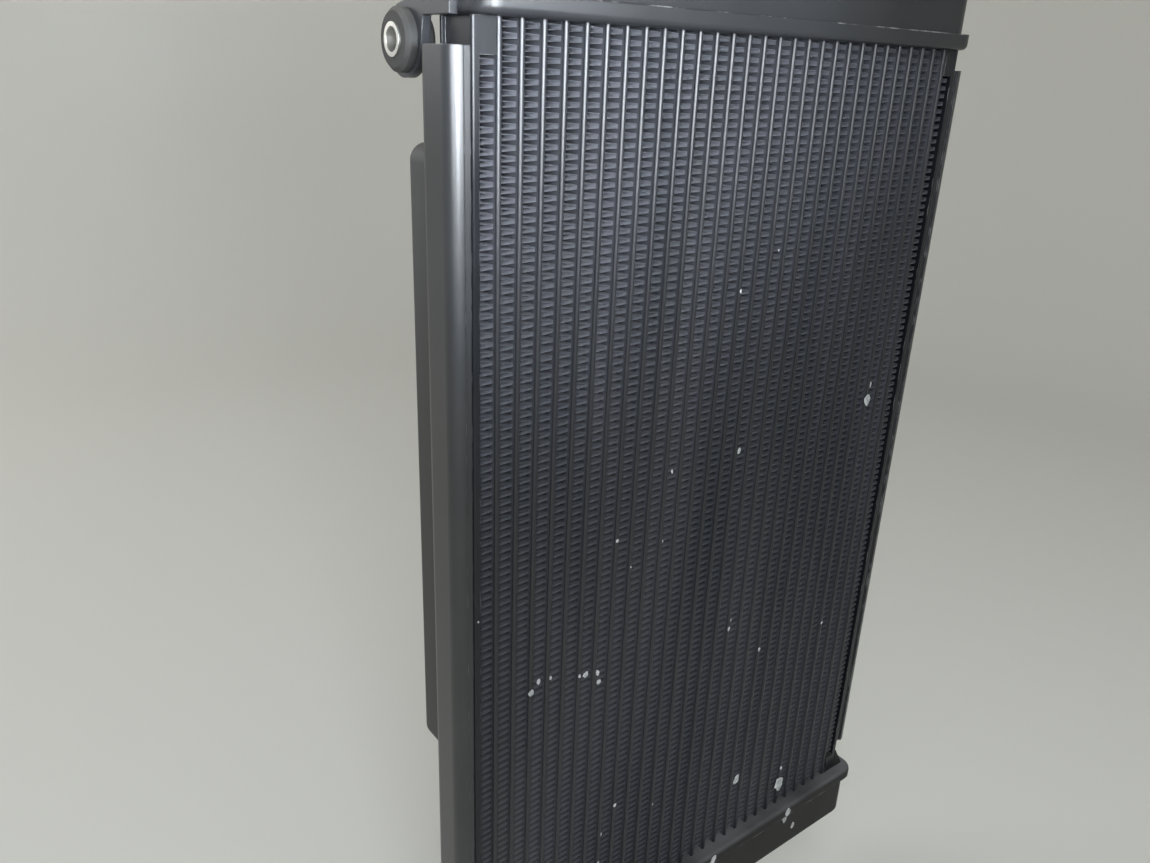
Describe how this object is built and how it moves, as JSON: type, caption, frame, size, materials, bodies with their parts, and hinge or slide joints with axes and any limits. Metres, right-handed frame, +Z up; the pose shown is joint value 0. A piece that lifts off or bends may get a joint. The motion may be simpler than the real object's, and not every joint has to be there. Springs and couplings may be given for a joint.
{
  "type": "motorcycle radiator",
  "caption": "Upright liquid-cooling radiator with a flat-tube and fin core between two tanks, hose spigots, a filler neck with a pressure cap, and an electric fan in a shroud.",
  "frame": {"origin": "centre of the lower mounting eye's collar, midway through the core's depth", "axes": "+Z up along the core's tubes, +X along the width towards the inlet spigot, +Y rearwards to the fan, so that the cooled front face looks towards -Y"},
  "size_m": [0.234, 0.0837, 0.4552],
  "materials": {
    "black_paint": "satin",
    "core_paint": "satin",
    "rubber": "matt",
    "plated_steel": "zinc plated",
    "cap_steel": "satin",
    "shroud_plastic": "matt",
    "motor_case": "satin"
  },
  "bodies": {
    "radiator": {"core_tubes": "core_paint", "core_fins": "core_paint", "side_plate_left": "black_paint", "side_plate_right": "black_paint", "side_post_left": "black_paint", "side_post_right": "black_paint", "header_gusset_left": "black_paint", "header_gusset_right": "black_paint", "upper_header": "black_paint", "lower_header": "black_paint", "top_tank": "black_paint", "bottom_tank": "black_paint", "inlet_spigot": "black_paint", "outlet_spigot": "black_paint", "filler_neck": "black_paint", "upper_eye_left": "black_paint", "upper_eye_right": "black_paint", "lower_eye": "black_paint", "upper_grommet_left": "rubber", "upper_grommet_right": "rubber", "lower_grommet": "rubber", "upper_collar_left": "plated_steel", "upper_collar_right": "plated_steel", "lower_collar": "plated_steel", "fan_shroud": "shroud_plastic", "fan_frame": "shroud_plastic", "fan_motor": "motor_case"},
    "pressure_cap": {"cap_shell": "cap_steel"},
    "fan": {"fan_rotor": "shroud_plastic", "fan_shaft": "plated_steel"}
  },
  "joints": [
    {"name": "fan_spin", "type": "hinge", "parent": "radiator", "child": "fan", "pos_m": [0, 0.022, 0.25], "axis": [0, 1, 0], "continuous": true},
    {"name": "cap_turn", "type": "hinge", "parent": "radiator", "child": "pressure_cap", "pos_m": [-0.07, 0, 0.442], "axis": [0, 0, 1], "range_deg": [0, 90]}
  ]
}
